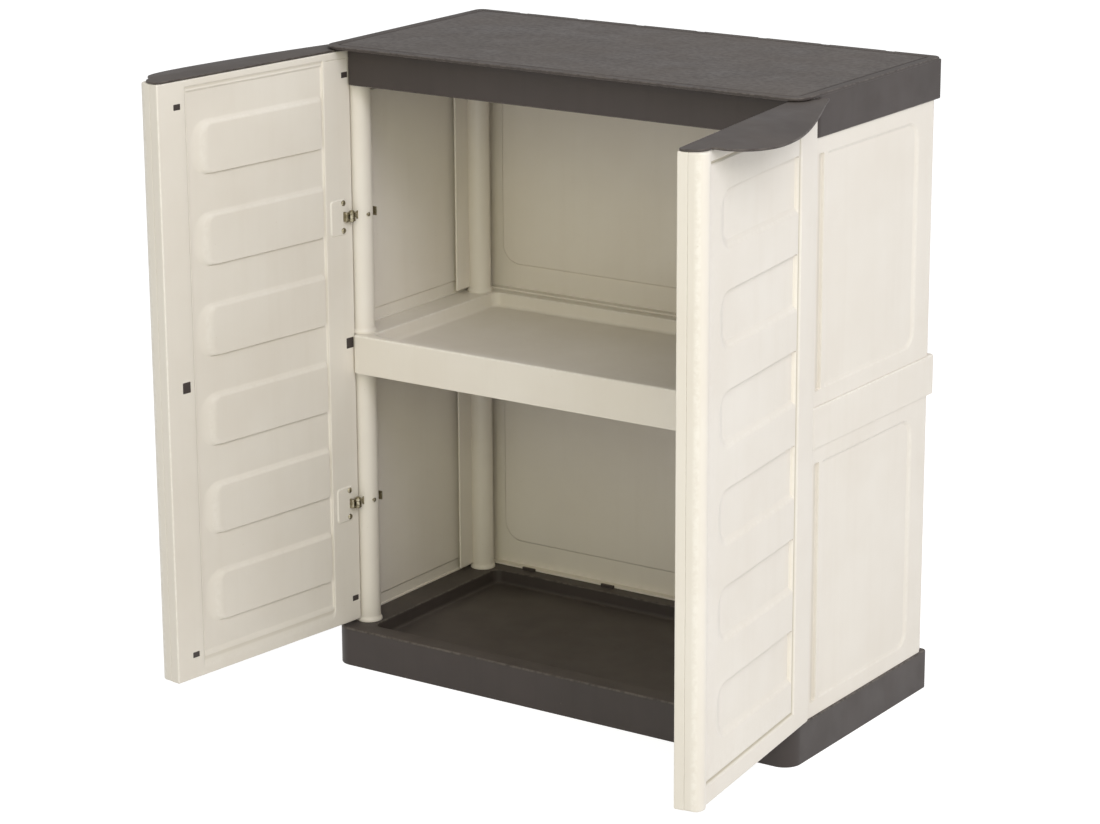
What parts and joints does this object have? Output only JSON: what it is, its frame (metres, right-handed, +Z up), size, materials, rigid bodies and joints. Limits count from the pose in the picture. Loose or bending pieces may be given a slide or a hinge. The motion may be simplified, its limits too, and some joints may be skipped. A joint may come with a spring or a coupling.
{
  "type": "garden storage cabinet",
  "caption": "Low resin storage cabinet with a dark base tray and lid, a middle shelf, tubular corner posts and two hinged doors with pressed slats.",
  "frame": {"origin": "middle of the base tray's footprint, on the floor", "axes": "+X to the right seen from the front, -Y out of the front, +Z up"},
  "size_m": [0.9164, 0.6782, 0.87],
  "materials": {
    "cream_resin": "satin moulded resin",
    "dark_resin": "satin moulded resin",
    "hinge_steel": "zinc plated"
  },
  "bodies": {
    "cabinet": {"base_tray": "dark_resin", "middle_shelf": "cream_resin", "top_lid": "dark_resin", "post_lower_front_left": "cream_resin", "post_lower_rear_left": "cream_resin", "post_lower_front_right": "cream_resin", "post_lower_rear_right": "cream_resin", "side_panel_lower_left": "cream_resin", "side_panel_lower_right": "cream_resin", "back_panel_lower": "cream_resin", "post_upper_front_left": "cream_resin", "post_upper_rear_left": "cream_resin", "post_upper_front_right": "cream_resin", "post_upper_rear_right": "cream_resin", "side_panel_upper_left": "cream_resin", "side_panel_upper_right": "cream_resin", "back_panel_upper": "cream_resin", "hinge_left_lower_strap": "hinge_steel", "hinge_left_lower_rivet": "hinge_steel", "hinge_left_lower_pin": "hinge_steel", "hinge_left_upper_strap": "hinge_steel", "hinge_left_upper_rivet": "hinge_steel", "hinge_left_upper_pin": "hinge_steel", "hinge_right_lower_strap": "hinge_steel", "hinge_right_lower_rivet": "hinge_steel", "hinge_right_lower_pin": "hinge_steel", "hinge_right_upper_strap": "hinge_steel", "hinge_right_upper_rivet": "hinge_steel", "hinge_right_upper_pin": "hinge_steel"},
    "door_left": {"door_left_inner_skin": "cream_resin", "door_left_outer_skin": "cream_resin", "door_left_cap": "dark_resin", "door_left_snap_inserts": "dark_resin", "hinge_left_lower_leaf": "hinge_steel", "hinge_left_lower_screws": "hinge_steel", "hinge_left_upper_leaf": "hinge_steel", "hinge_left_upper_screws": "hinge_steel"},
    "door_right": {"door_right_inner_skin": "cream_resin", "door_right_outer_skin": "cream_resin", "door_right_cap": "dark_resin", "door_right_snap_inserts": "dark_resin", "hinge_right_lower_leaf": "hinge_steel", "hinge_right_lower_screws": "hinge_steel", "hinge_right_upper_leaf": "hinge_steel", "hinge_right_upper_screws": "hinge_steel"}
  },
  "joints": [
    {"name": "door_left_hinge", "type": "hinge", "parent": "cabinet", "child": "door_left", "pos_m": [-0.338, -0.1615, 0.435], "axis": [0, 0, -1], "range_deg": [-97, 0]},
    {"name": "door_right_hinge", "type": "hinge", "parent": "cabinet", "child": "door_right", "pos_m": [0.338, -0.1615, 0.435], "axis": [0, 0, 1], "range_deg": [-97, 0]}
  ]
}
